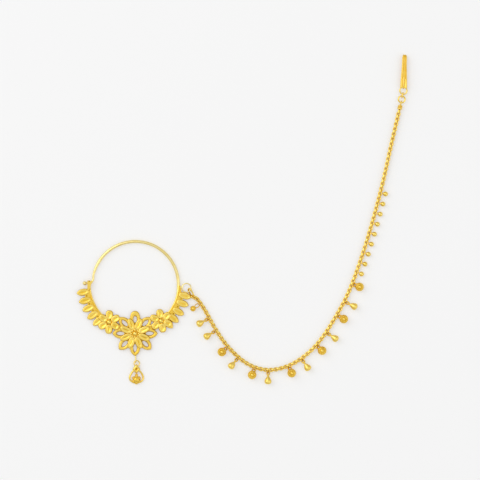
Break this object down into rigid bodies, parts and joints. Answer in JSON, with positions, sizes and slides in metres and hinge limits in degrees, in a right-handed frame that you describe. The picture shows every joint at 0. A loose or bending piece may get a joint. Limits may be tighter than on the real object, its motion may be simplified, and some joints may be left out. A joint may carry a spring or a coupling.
{
  "type": "nose ring with hair chain",
  "caption": "Gold hoop nose pin with flower front, hanging drop, and a charm chain ending in a flat hair hook, lying flat.",
  "frame": {"origin": "middle of the centre flower's flat back, on the plane that the part lies on", "axes": "+X towards the chain's side of the hoop, +Y from the flower up to the middle of the hoop, +Z out of the front of the flower, away from the plane that it lies on"},
  "size_m": [0.1323, 0.1317, 0.0029],
  "materials": {
    "gold": "polished yellow gold with finely frosted hollows",
    "chain_gold": "polished yellow gold links"
  },
  "bodies": {
    "root": {"nath_front": "gold", "drop_ring": "gold", "main_drop": "gold", "chain_first_link": "gold", "chain": "chain_gold", "chain_end_cap": "gold", "end_ring": "gold", "hook_link": "gold", "hair_hook": "gold", "teardrop_1": "gold", "teardrop_2": "gold", "teardrop_3": "gold", "teardrop_4": "gold", "teardrop_5": "gold", "teardrop_6": "gold", "teardrop_7": "gold", "ball_charm_1": "gold", "ball_charm_2": "gold", "ball_charm_3": "gold", "ball_charm_4": "gold", "ball_charm_5": "gold", "ball_charm_6": "gold", "ball_charm_7": "gold", "small_ball_1": "gold", "small_ball_2": "gold", "small_ball_3": "gold", "small_ball_4": "gold", "small_ball_5": "gold", "small_ball_6": "gold", "small_ball_7": "gold", "small_ball_8": "gold", "small_ball_9": "gold"}
  },
  "joints": []
}
